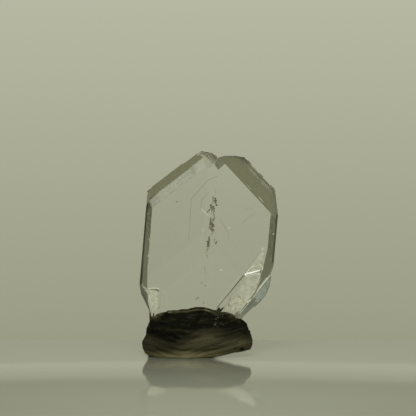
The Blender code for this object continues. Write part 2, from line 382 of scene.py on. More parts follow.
@dataclass(frozen=True)
class KneadedPutty:
    """Dull putty with painted shade in its creases and painted light on its crests, rim and foot, paler and
    browner where it was drawn out, partly by painted light.
    """

    dark: Colour = srgb(20, 21, 13)
    middle: Colour = srgb(62, 60, 42)
    pale: Colour = srgb(124, 118, 88)
    # The palest stop, reached by the painted light on the rim and the foot.
    palest_painted_light: Colour = srgb(212, 200, 158)
    stops: tuple[float, ...] = (0.03, 0.25, 0.48, 0.75)
    tone_range: float = 2.0
    roughness: float = 0.78
    shine: float = 0.25
    streak_contrast: float = 0.38
    crumb_scale: float = 5200.0
    crumb_share: float = 0.5
    relief_height: float = 0.12 * MM
    relief_strength: float = 0.9

    def material(self) -> bpy.types.Material:
        """Builds the putty's material from its stored tone and from fine streaks."""
        material, nodes, shader = new_material("kneaded_putty")
        tone = nodes.add("ShaderNodeAttribute", attribute_name="tone").outputs["Fac"]
        along = nodes.add("ShaderNodeAttribute", attribute_name="grain").outputs["Vector"]
        streaks = nodes.clouds(along, scale=1.0, detail=5.0, roughness=0.65)
        contrast = nodes.math("MULTIPLY", nodes.math("SUBTRACT", streaks, 0.5), self.streak_contrast)
        mixed = nodes.math("MULTIPLY", nodes.math("ADD", tone, contrast), 1.0 / self.tone_range)
        colours = (self.dark, self.middle, self.pale, self.palest_painted_light)
        nodes.join(nodes.ramp(mixed, list(zip(self.stops, colours))), shader.inputs["Base Color"])
        nodes.set(shader, Roughness=self.roughness, Specular_IOR_Level=self.shine)
        crumb = nodes.clouds(nodes.object_place(), self.crumb_scale, detail=3.0)
        height = nodes.math("ADD", streaks, nodes.math("MULTIPLY", crumb, self.crumb_share))
        nodes.bump(shader, height, self.relief_height, self.relief_strength)
        return material


@dataclass(frozen=True)
class Fleck:
    """The finish of one kind of fleck, line or sheet in the crystal or grain on the putty, which gives off
    its colour as a painted glow.
    """

    name: str
    colour: Colour
    roughness: float
    # Emission strength: the painted glow by which the piece shows its tone whatever the light.
    glint: float = 0.0
    shade: float = 1.0
    mottle: float = 0.1
    mottle_scale: float = 3500.0
    cloud_scale: float = 1300.0
    edges: Range = (0.35, 0.65)

    def toned(self, factor: float) -> Colour:
        """The colour, made lighter or darker."""
        return (*(part * factor for part in self.colour[:3]), 1.0)

    def material(self) -> bpy.types.Material:
        """Builds a mottled material that gives off its colour as a painted glow."""
        material, nodes, shader = new_material(self.name)
        place = nodes.object_place()
        low, high = self.edges
        mottle = nodes.clouds(place, self.mottle_scale, detail=3.0)
        colour = nodes.ramp(mottle, [(low, self.toned(self.shade / 2)), (high, self.toned(self.shade))])
        nodes.join(colour, shader.inputs["Base Color"])
        clouds = nodes.clouds(place, self.cloud_scale, detail=4.0, roughness=0.6)
        faint, strong = self.toned(1.0 - self.mottle), self.toned(1.0 + self.mottle)
        glow = nodes.ramp(clouds, [(low, faint), (high, strong)])
        nodes.join(glow, shader.inputs["Emission Color"])
        nodes.set(shader, Roughness=self.roughness, Emission_Strength=self.glint)
        return material


def set_in_quartz(piece: Piece, finish: Fleck) -> Piece:
    """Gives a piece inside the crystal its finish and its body.

    Args:
        piece: The piece.
        finish: Its finish.

    Returns:
        The same piece.
    """
    piece.data.materials.clear()
    piece.data.materials.append(finish.material())
    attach(piece, BODY)
    return piece


@dataclass
class StudioCamera:
    """The camera, nearly level with the crystal."""

    lens: float = 192.0
    sensor: float = 36.0
    distance: float = 400 * MM
    elevation: float = math.radians(3)
    target: Vector = field(default_factory=lambda: Vector((-0.13 * MM, 0.0, 26.6 * MM)))
    clip: Range = (1 * MM, 20.0)

    def build(self) -> Piece:
        """Places the camera and makes it the scene's."""
        data = bpy.data.cameras.new("camera")
        data.lens = self.lens
        data.sensor_width = self.sensor
        data.clip_start, data.clip_end = self.clip
        camera = linked("camera", data)
        away = Vector((0.0, -math.cos(self.elevation), math.sin(self.elevation)))
        camera.location = self.target + away * self.distance
        camera.rotation_euler = (math.pi / 2 - self.elevation, 0.0, 0.0)
        bpy.context.scene.camera = camera
        return camera


@dataclass
class TwinCrystal:
    """The clear crystal, from the CAD solid."""

    flat_angle: float = math.radians(0.05)

    def build(self) -> Piece:
        """Makes the visible crystal and lets it stand for its node."""
        shape = merged_copy(CRYSTAL_NODE)
        bmesh.ops.dissolve_limit(
            shape, angle_limit=self.flat_angle, verts=shape.verts[:], edges=shape.edges[:]
        )
        crystal = object_of("quartz_twin", shape)
        crystal.data.materials.append(ClearQuartz().material())
        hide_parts(CRYSTAL_NODE)
        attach(crystal, BODY)
        return crystal


@dataclass(frozen=True)
class Thread:
    """A fine line inside the crystal, in mm right of and above the twin's centre."""

    points: tuple[Place, ...]
    radius: float
    back: float = -1.5
    taper: float = 1.0


@dataclass
class FineLines:
    """Fine lines of one kind inside the crystal, joined in one piece."""

    name: str
    finish: Fleck
    threads: list[Thread]

    def build(self) -> Piece:
        """Builds the lines as one piece."""
        curve = bpy.data.curves.new(self.name, "CURVE")
        curve.dimensions = "3D"
        curve.bevel_depth = 1 * MM
        curve.bevel_resolution = 1
        curve.use_fill_caps = True
        for thread in self.threads:
            last = len(thread.points) - 1
            spline = curve.splines.new("POLY")
            spline.points.add(last)
            for number, (right, up) in enumerate(thread.points):
                knot = spline.points[number]
                knot.co = (*near_centre(right, up, thread.back), 1.0)
                knot.radius = thread.radius * (1.0 + (thread.taper - 1.0) * number / last)
        drawn = linked(self.name, curve)
        bpy.context.view_layer.update()
        mesh = bpy.data.meshes.new_from_object(drawn)
        bpy.data.objects.remove(drawn)
        return set_in_quartz(linked(self.name, mesh), self.finish)


def line_kinds() -> list[FineLines]:
    """The outlines of earlier growth and the lines at the small crystals' edges: growth lines and smears in
    a painted glow, lines of painted shade along the edges, bands and top right rim, and painted highlights
    on the ledge and the small crystals.
    """
    # Real growth outlines, their tone a painted glow.
    growth = [
        Thread(((1.4, 10.6), (0.0, 10.0), (-1.3, 8.7), (-3.2, 6.5), (-3.4, 3.0)), 0.048),
        Thread(((-3.4, 3.0), (-3.65, -0.9)), 0.034),
        Thread(((-0.1, 7.7), (-1.35, 6.2), (-1.45, 4.9)), 0.044),
        Thread(((1.3, 8.4), (1.0, 6.9)), 0.026),
        Thread(((1.9, 2.9), (2.7, 1.8), (3.4, 0.6), (3.5, -0.8)), 0.036),
        Thread(((-1.0, 1.0), (-0.6, 0.2), (-0.5, -0.6)), 0.028),
        Thread(((5.9, 2.1), (6.9, 2.9), (8.1, 4.1)), 0.028),
        Thread(((6.3, 4.4), (7.2, 5.0), (7.9, 4.6)), 0.02),
        Thread(((-6.2, 5.9), (-5.3, 6.1)), 0.03),
        Thread(((6.3, -7.0), (9.4, -2.6)), 0.03, -2.1),
        Thread(((9.65, -4.6), (9.4, -6.3), (8.9, -8.3), (8.6, -9.0)), 0.03, -2.4),
    ]
    # Painted shade: dark lines along the plate's edges, the column and the splinter.
    edges = [
        Thread(((-11.62, -1.6), (-11.95, -5.5), (-12.2, -8.9)), 0.08, -1.15, 2.1),
        Thread(((-11.35, 3.0), (-11.5, -0.5), (-11.6, -1.6)), 0.05, -1.5),
        Thread(((12.2, 3.7), (11.88, 0.0), (11.64, -2.7), (11.44, -5.0)), 0.14, -1.35),
        Thread(((-12.1, -10.1), (-10.75, -13.6), (-10.3, -14.6)), 0.06, -0.7),
        Thread(((1.35, -13.1), (3.6, -10.4), (6.2, -7.15)), 0.06, -2.4),
        Thread(((3.5, -12.7), (3.95, -11.2)), 0.05, -2.8),
        Thread(((11.1, -7.7), (10.85, -9.1), (10.25, -10.5), (9.45, -11.6), (8.6, -12.4)), 0.06, -0.5),
    ]
    # Painted shade along the rough top right rim.
    rim = ((6.1, 13.6), (7.55, 12.05), (9.35, 10.2), (10.6, 9.0), (11.55, 7.8), (11.8, 6.2))
    rims = [Thread(rim, 0.12, 0.75)]
    # Soft dark smears along the twin plane, their tone a painted glow.
    smears = [
        Thread(((0.7, 6.9), (0.75, 6.1), (0.6, 5.4)), 0.1, -0.1, 0.4),
        Thread(((0.2, 5.1), (0.45, 4.4), (0.5, 3.8)), 0.09, 0.1, 0.5),
        Thread(((0.35, 3.1), (0.2, 2.2), (0.05, 1.2)), 0.17, 0.0, 0.5),
        Thread(((0.05, -0.3), (-0.1, -1.2), (-0.25, -2.0)), 0.13, 0.1, 0.4),
        Thread(((1.1, -0.7), (0.85, -1.4)), 0.07, 0.1, 0.4),
    ]
    # Painted shade in the splinter and in the left band.
    bands = [
        Thread(((8.4, -11.4), (7.8, -12.15), (7.1, -13.1)), 0.19, -0.7),
        Thread(((-11.1, 3.6), (-11.25, 0.0)), 0.05, -1.7),
    ]
    # Painted highlight lines on the ledge and low on the column.
    glints = [
        Thread(((6.45, -7.05), (9.15, -6.25)), 0.17, -2.0, 0.6),
        Thread(((6.4, -12.0), (7.4, -11.5)), 0.1, -1.6, 0.5),
    ]
    # Painted highlights along the ledge's rim, the column's edges and the stub's edges.
    ledge_rim = ((6.7, -6.9), (7.2, -6.1), (7.8, -5.6), (8.7, -5.3), (9.4, -5.35), (9.7, -5.8), (9.5, -6.3))
    bright = [
        Thread(ledge_rim, 0.09, -2.05),
        Thread(((11.0, -7.2), (9.0, -9.7), (7.0, -12.15), (5.5, -14.1)), 0.07, -1.5, 1.8),
        Thread(((1.75, -12.0), (3.75, -9.5), (5.75, -7.2)), 0.05, -1.7),
        Thread(((-10.8, -9.5), (-9.0, -9.5)), 0.08, -2.45),
        Thread(((-11.0, -10.0), (-10.2, -10.0)), 0.06, -2.5),
        Thread(((-10.7, -10.6), (-10.55, -12.0)), 0.07, -2.6),
    ]
    bright += [Thread(((-9.9, up), (-9.1, up - 0.1)), 0.03, -2.5) for up in (-10.6, -11.2, -11.8)]
    return [
        FineLines("growth_lines", Fleck("growth_line", srgb(134, 136, 112), 0.6, 0.9, 0.1), growth),
        FineLines("edge_shades", Fleck("edge_shade", srgb(46, 48, 38), 0.6, 1.0, 0.1), edges),
        FineLines("rim_painted_shades", Fleck("rim_painted_shade", srgb(104, 102, 72), 0.7, 0.9, 0.15, 0.25), rims),
        FineLines("fleck_smears", Fleck("fleck_smear", srgb(100, 99, 76), 0.6, 1.0, 0.05, 0.2), smears),
        FineLines("band_shades", Fleck("band_shade", srgb(98, 101, 80), 0.6, 1.0, 0.08, 0.08), bands),
        FineLines("ledge_glint", Fleck("ledge_glint", srgb(246, 248, 234), 0.4, 1.0, 0.3), glints),
        FineLines("painted_highlight_lines", Fleck("painted_highlight_line", srgb(206, 210, 180), 0.4, 0.55), bright),
    ]


@dataclass(frozen=True)
class Sheet:
    """A thin sheet inside the crystal: how far back it is and its corners, in mm from the twin's centre."""

    back: float
    corners: tuple[Place, ...]


COLUMN_FACE = Sheet(-2.75, (
    (3.78, -12.42), (6.75, -7.45), (9.0, -7.05), (9.27, -7.3), (8.1, -10.08), (6.48, -12.33),
    (5.58, -13.68), (4.14, -13.32),
))
COLUMN_TIP = Sheet(-2.05, (
    (7.02, -6.66), (7.74, -5.4), (8.82, -3.78), (9.63, -2.79), (9.9, -3.06), (9.95, -4.86),
    (9.54, -5.94), (9.09, -6.39),
))
STUB_FACE = Sheet(-2.5, (
    (-10.62, -9.9), (-9.36, -9.9), (-9.0, -10.98), (-9.18, -12.42), (-9.54, -13.86), (-10.26, -13.86),
    (-10.62, -12.06),
))
COLUMN_BAND = Sheet(-1.95, (
    (2.23, -12.24), (6.39, -7.27), (7.38, -7.74), (4.14, -12.78), (2.25, -13.41), (1.8, -12.96),
))
COLUMN_RIGHT = Sheet(-2.0, (
    (8.91, -7.47), (9.59, -7.47), (8.33, -9.9), (6.66, -12.15), (5.72, -13.41), (5.22, -13.14),
    (6.21, -11.88), (7.83, -9.72),
))
STRIP_END = Sheet(0.0, (
    (-0.81, 13.86), (-0.36, 14.13), (0.72, 12.69), (0.54, 12.24), (0.0, 11.97), (-0.45, 12.33),
    (-0.9, 13.14),
))
STUB_RIGHT = Sheet(-1.65, ((-9.7, -10.26), (-8.3, -10.26), (-7.74, -10.8), (-7.65, -14.04), (-9.7, -14.04)))
STUB_LEFT = Sheet(-1.65, (
    (-11.07, -9.9), (-9.72, -9.9), (-9.72, -14.5), (-10.15, -14.7), (-10.5, -14.0), (-10.98, -12.06),
))
WEDGE = Sheet(-1.6, (
    (10.53, -2.34), (10.12, -4.14), (9.76, -5.58), (9.36, -7.02), (8.91, -8.28), (8.37, -9.72),
    (9.36, -8.82), (10.53, -7.29), (11.07, -6.3), (10.89, -2.7),
))
BAND_LOW = Sheet(-1.65, (
    (-11.39, -0.36), (-11.0, -0.36), (-11.11, -9.54), (-11.99, -9.0), (-11.95, -7.2), (-11.75, -4.5),
))
SPLINTER_HIGH = Sheet(-0.55, (
    (10.71, -7.74), (11.03, -7.74), (10.89, -9.0), (10.26, -10.62), (9.54, -11.61), (8.82, -12.15),
    (8.01, -11.88), (8.46, -10.8), (9.54, -9.18),
))
SPLINTER_LOW = Sheet(-0.3, (
    (7.11, -12.51), (7.92, -12.87), (6.39, -14.49), (5.31, -15.48), (5.04, -15.12), (5.94, -13.86),
))
SPLINTER_FOOT = Sheet(0.2, ((7.47, -11.34), (9.0, -12.24), (8.28, -13.14), (7.2, -12.78)))
NOTCH_FRONT = Sheet(-1.35, ((-0.1, 14.1), (-0.1, 14.42), (1.5, 12.31), (1.5, 11.99)))
NOTCH_LEFT = Sheet(-0.45, (
    (-1.4, 14.75), (0.25, 14.75), (0.85, 13.95), (1.4, 13.2), (1.55, 12.8), (1.1, 12.6), (0.3, 13.3),
    (-0.35, 13.95), (-0.5, 14.4), (-1.4, 14.45),
))
NOTCH_BACK = Sheet(0.1, (
    (0.25, 14.45), (0.3, 14.8), (0.6, 14.75), (1.2, 14.0), (1.55, 13.5), (1.55, 12.9), (1.2, 13.3),
    (0.6, 14.1),
))
CORNER = Sheet(-0.7, (
    (-10.93, 7.65), (-10.17, 8.23), (-9.54, 8.37), (-9.9, 6.84), (-10.71, 6.21), (-10.94, 6.48),
))
TOP_BAND_FRONT = Sheet(-1.45, ((-10.5, 6.83), (-10.5, 7.27), (-1.2, 14.3), (-1.2, 13.85)))
TOP_BAND_MIDDLE = Sheet(-1.1, ((-10.5, 7.2), (-10.5, 7.83), (-1.5, 14.63), (-1.5, 13.99)))
TOP_BAND_BACK = Sheet(-0.75, ((-10.5, 7.74), (-10.5, 8.35), (-2.1, 14.7), (-2.1, 14.08)))
LEDGE = Sheet(-2.3, ((6.5, -7.15), (9.2, -6.68), (9.2, -7.2), (6.6, -7.6)))

STUB_SIDES = (STUB_RIGHT, STUB_LEFT)


@dataclass
class PaintedSheets:
    """Thin sheets of one kind inside the crystal, joined in one piece, that give off painted light and
    shade.
    """

    name: str
    finish: Fleck
    sheets: list[Sheet]
    thickness: float = 0.03 * MM

    def build(self) -> Piece:
        """Builds every sheet of this kind."""
        shape = bmesh.new()
        for sheet in self.sheets:
            corners = [shape.verts.new(near_centre(*corner, sheet.back)) for corner in sheet.corners]
            face = bmesh.ops.contextual_create(shape, geom=corners)["faces"]
            grown = bmesh.ops.extrude_face_region(shape, geom=face)
            moved = [item for item in grown["geom"] if isinstance(item, bmesh.types.BMVert)]
            bmesh.ops.translate(shape, vec=Vector((0.0, self.thickness, 0.0)), verts=moved)
        bmesh.ops.recalc_face_normals(shape, faces=shape.faces[:])
        return set_in_quartz(object_of(self.name, shape), self.finish)


def painted_sheet_kinds() -> list[PaintedSheets]:
    """The sheets of painted light and shade in the column, the stub and the splinters, and just under the
    slanting faces; the pale and grey ones lie over real cloudiness.
    """
    kinds = (
        # Pale: real cloudiness of the column and the stub, its tone a painted glow.
        ("pale", srgb(164, 166, 142), 0.06, 0.16, [COLUMN_FACE, COLUMN_TIP, STUB_FACE]),
        # Level: painted light in the tone of the field behind, over parts of the column, the strip's end
        # and the stub.
        ("level", srgb(155, 157, 134), 0.08, 0.03, [COLUMN_BAND, COLUMN_RIGHT, STRIP_END, *STUB_SIDES]),
        # Shaded: painted shade of the dark wedge and of the low left band.
        ("shaded", srgb(100, 102, 81), 0.08, 0.05, [WEDGE, BAND_LOW]),
        # Bluish: a painted bluish reflection on the upper splinter.
        ("bluish", srgb(130, 137, 121), 0.06, 0.16, [SPLINTER_HIGH]),
        # Grey: the frosted lower splinter, its tone a painted glow.
        ("grey", srgb(110, 114, 98), 0.06, 0.14, [SPLINTER_LOW, SPLINTER_FOOT]),
        # Brown: painted light in the notch and the top left corner.
        ("brown", srgb(116, 116, 92), 0.06, 0.06, [NOTCH_FRONT, NOTCH_LEFT, NOTCH_BACK, CORNER]),
        # Olive: painted shade of the top left band.
        ("olive", srgb(111, 112, 85), 0.06, 0.05, [TOP_BAND_FRONT, TOP_BAND_MIDDLE, TOP_BAND_BACK]),
    )
    veils = [
        PaintedSheets(f"{tone}_painted_sheets", Fleck(f"{tone}_painted_sheet", colour, 0.6, 1.0, shade, mottle), sheets)
        for tone, colour, shade, mottle, sheets in kinds
    ]
    # The ledge sheet is a painted highlight under the ledge facet.
    ledge = PaintedSheets("ledge_painted_highlight", Fleck("ledge_painted_highlight", srgb(186, 188, 164), 0.4, 1.0, 0.1), [LEDGE])
    return [*veils, ledge]


@dataclass(frozen=True)
class Spot:
    """One cluster of specks inside the crystal, in mm from the twin's centre, leaning by degrees."""

    right: float
    up: float
    length: float
    width: float
    lean: float
    count: int = 4
    back: float = -0.9


@dataclass
class Flecks:
    """Specks of one kind inside the crystal, joined in one piece; sizes in mm."""

    name: str
    finish: Fleck
    seed: int
    spots: list[Spot]
    thickness: float = 0.12
    lengths: Range = (0.7, 1.2)
    widths: Range = (0.6, 1.1)
    narrowing: float = 1.1
    twist: float = 14.0
    aside: float = 0.15
    deep: float = 0.2
    ragged: float = 0.05
    ragged_scale: float = 9000.0

    def speck(self, shape: bmesh.types.BMesh, spot: Spot, dice: random.Random, along: float) -> None:
        """Adds one ragged speck of a cluster.

        Args:
            shape: The bmesh that all the specks go into.
            spot: The cluster.
            dice: Seeded random numbers.
            along: The speck's place along the cluster, from -0.5 to 0.5.
        """
        taper = 1.0 - self.narrowing * abs(along)
        length = spot.length / spot.count * dice.uniform(*self.lengths)
        width = spot.width * taper * dice.uniform(*self.widths)
        turn = Matrix.Rotation(math.radians(spot.lean + dice.uniform(-self.twist, self.twist)), 4, "Y")
        axis = Matrix.Rotation(math.radians(spot.lean), 3, "Y") @ Vector((0.0, 0.0, 1.0))
        shift = axis * along * spot.length
        place = near_centre(
            spot.right + shift.x + dice.uniform(-self.aside, self.aside) * spot.width,
            spot.up + shift.z,
            spot.back + dice.uniform(-self.deep, self.deep),
        )
        size = Matrix.Diagonal((width * MM / 2, self.thickness * MM / 2, length * MM / 2, 1.0))
        made = bmesh.ops.create_icosphere(
            shape, subdivisions=2, radius=1.0, matrix=Matrix.Translation(place) @ turn @ size
        )
        for vert in made["verts"]:
            vert.co += noise.noise_vector(vert.co * self.ragged_scale) * self.ragged * MM

    def build(self) -> Piece:
        """Builds every cluster of this kind."""
        dice = random.Random(self.seed)
        shape = bmesh.new()
        for spot in self.spots:
            for number in range(spot.count):
                self.speck(shape, spot, dice, (number + 0.5) / spot.count - 0.5)
        return set_in_quartz(object_of(self.name, shape, smooth=True), self.finish)


def fleck_kinds() -> list[Flecks]:
    """The dark and rusty specks along the twin plane and in the side crystals, in a painted glow, and
    bright specks that are painted glints.
    """
    dark = [
        Spot(1.20, 6.0, 1.6, 0.81, -12, 4),
        Spot(0.65, 4.85, 1.5, 0.81, -24, 4),
        Spot(-0.15, 4.35, 0.9, 0.39, 38, 4),
        Spot(0.60, 2.5, 1.2, 0.81, 28, 4),
        Spot(0.48, 1.45, 1.3, 1.30, 10, 4),
        Spot(-0.02, -1.2, 1.9, 0.81, 6, 5),
        Spot(-0.22, -2.0, 0.7, 0.59, 10, 3),
        Spot(1.30, -1.35, 0.8, 0.39, 32, 3),
        Spot(-5.8, 6.0, 0.25, 0.26, 30, 2),
    ]
    rusty = [
        Spot(0.85, 3.6, 1.3, 0.60, -4, 4, -0.7),
        Spot(0.60, 0.5, 1.2, 0.50, 4, 4, -0.7),
        Spot(-0.30, -2.7, 1.3, 0.50, 8, 5, -0.7),
        Spot(-0.30, -3.9, 0.7, 0.26, -30, 4, -0.7),
        Spot(-0.7, -6.2, 1.7, 0.16, -8, 6, -0.7),
        Spot(-1.3, -8.65, 0.5, 0.42, 20, 3, -0.7),
        Spot(-0.65, -9.1, 0.45, 0.38, -30, 3, -0.7),
        Spot(-2.1, -11.4, 0.8, 0.60, 60, 5, -0.7),
        Spot(-1.0, -12.2, 0.5, 0.30, 20, 3, -0.7),
        Spot(4.9, -11.7, 0.9, 0.5, 60, 5, -2.2),
        Spot(4.3, -12.9, 0.8, 0.4, 10, 5, -2.2),
        Spot(5.7, -13.0, 0.8, 0.4, -40, 5, -2.2),
    ]
    # Painted glints in place of cracks that catch the light.
    bright = [
        Spot(-0.7, 4.1, 1.9, 0.30, -47, 9, -1.2),
        Spot(3.6, 1.3, 0.55, 0.40, 70, 3, -1.2),
        Spot(2.15, -6.3, 0.4, 0.55, 0, 3, -1.2),
        Spot(9.6, -2.5, 0.7, 0.5, 50, 5, -1.4),
        Spot(-1.35, -1.1, 0.3, 0.28, 0, 2, -1.2),
        Spot(-1.1, 0.9, 0.5, 0.22, 0, 3, -1.2),
    ]
    return [
        Flecks("dark_flecks", Fleck("dark_fleck", srgb(92, 91, 67), 0.6, 1.0, 0.04, 0.3), 3, dark),
        Flecks("rusty_flecks", Fleck("rusty_fleck", srgb(138, 129, 94), 0.5, 1.0, 0.04, 0.2), 5, rusty),
        Flecks("painted_glint_flecks", Fleck("painted_glint_fleck", srgb(212, 216, 184), 0.35, 0.7), 7, bright),
    ]


@dataclass(frozen=True)
class Patch:
    """A four-cornered patch of the front, in mm from the twin's centre, that holds frost."""

    corners: tuple[Place, ...]
    near: float
    far: float


COLUMN_LOW = Patch(((2.6, -13.2), (5.9, -14.0), (7.2, -10.6), (4.3, -10.9)), -2.95, -2.8)
COLUMN_HIGH = Patch(((4.6, -10.6), (7.2, -10.4), (8.6, -8.4), (6.8, -8.4)), -2.95, -2.8)
STUB = Patch(((-10.7, -13.0), (-8.9, -13.2), (-8.9, -10.2), (-10.6, -9.8)), -2.65, -2.55)
SPLINTER = Patch(((7.9, -12.2), (9.4, -11.4), (11.0, -8.0), (9.8, -8.2)), -0.7, -0.6)


@dataclass
class Frost:
    """Tiny flat flakes of one kind, in one piece, that cloud parts of the side crystals with a painted
    glow; sizes in mm.
    """

    name: str
    finish: Fleck
    seed: int
    patches: list[tuple[Patch, int]]
    size: float = 0.14
    widths: Range = (0.4, 1.3)
    heights: Range = (0.2, 0.6)
    thickness: float = 0.02
    tilt: float = 0.5

    def flake(self, shape: bmesh.types.BMesh, patch: Patch, dice: random.Random) -> None:
        """Adds one flake somewhere in a patch.

        Args:
            shape: The bmesh that all the flakes go into.
            patch: The patch.
            dice: Seeded random numbers.
        """
        low_left, low_right, top_right, top_left = (Vector(corner) for corner in patch.corners)
        share = dice.random()
        low = low_left.lerp(low_right, share)
        place = low.lerp(top_left.lerp(top_right, share), dice.random())
        spot = near_centre(place.x, place.y, dice.uniform(patch.near, patch.far))
        turn = Matrix.Rotation(dice.uniform(0.0, math.pi), 4, "Y")
        tilt = Matrix.Rotation(dice.uniform(-self.tilt, self.tilt), 4, "X")
        wide = self.size * dice.uniform(*self.widths) * MM
        size = Matrix.Diagonal((wide, self.thickness * MM, wide * dice.uniform(*self.heights), 1.0))
        bmesh.ops.create_icosphere(
            shape, subdivisions=1, radius=1.0, matrix=Matrix.Translation(spot) @ turn @ tilt @ size
        )

    def build(self) -> Piece:
        """Scatters the flakes through every patch."""
        dice = random.Random(self.seed)
        shape = bmesh.new()
        for patch, count in self.patches:
            for _ in range(count):
                self.flake(shape, patch, dice)
        return set_in_quartz(object_of(self.name, shape), self.finish)


def frost_kinds() -> list[Frost]:
    """The frosty clouds in the column, the stub and the splinters, whose tone is a painted glow."""
    pale = [(COLUMN_LOW, 60), (COLUMN_HIGH, 24), (STUB, 20)]
    brown = [(COLUMN_LOW, 60), (STUB, 6)]
    grey = [(SPLINTER, 16), (COLUMN_LOW, 16), (STUB, 8)]
    return [
        Frost("pale_frost", Fleck("pale_frost", srgb(184, 186, 160), 0.5, 1.0, 0.1), 11, pale),
        Frost("brown_frost", Fleck("brown_frost", srgb(150, 136, 100), 0.5, 1.0, 0.1), 13, brown),
        Frost("grey_frost", Fleck("grey_frost", srgb(124, 130, 114), 0.4, 0.8, 0.2), 17, grey),
    ]


@dataclass(frozen=True)
class Crease:
    """A fold line across the putty's front, in mm right of and above the CAD origin."""

    start: Place
    end: Place
    depth: float
    width: float


@dataclass(frozen=True)
class Dab:
    """A rounded dab of putty that is smeared over the lump, in mm from the CAD origin."""

    centre: tuple[float, float, float]
    radii: tuple[float, float, float]


@dataclass(frozen=True)
class Wave:
    """A wave in the putty: how often it turns in each mm, where it starts and how far it pushes, in mm."""

    often: tuple[float, float, float]
    start: float
    push: float

    def at(self, drawn: Vector) -> float:
        """The wave at a point of the grain, about -1 to 1."""
        along, through, across = self.often
        return noise.noise(Vector((drawn.x * along + self.start, drawn.y * through, drawn.z * across)))


@dataclass(frozen=True)
class Fade:
    """A soft step over a measure in mm: 0 at its start and 1 past its width, which may be negative."""

    start: float
    width: float

    def at(self, value: float) -> float:
        """How far the step has risen at a value, from 0 to 1."""
        return limited((value - self.start) / self.width)


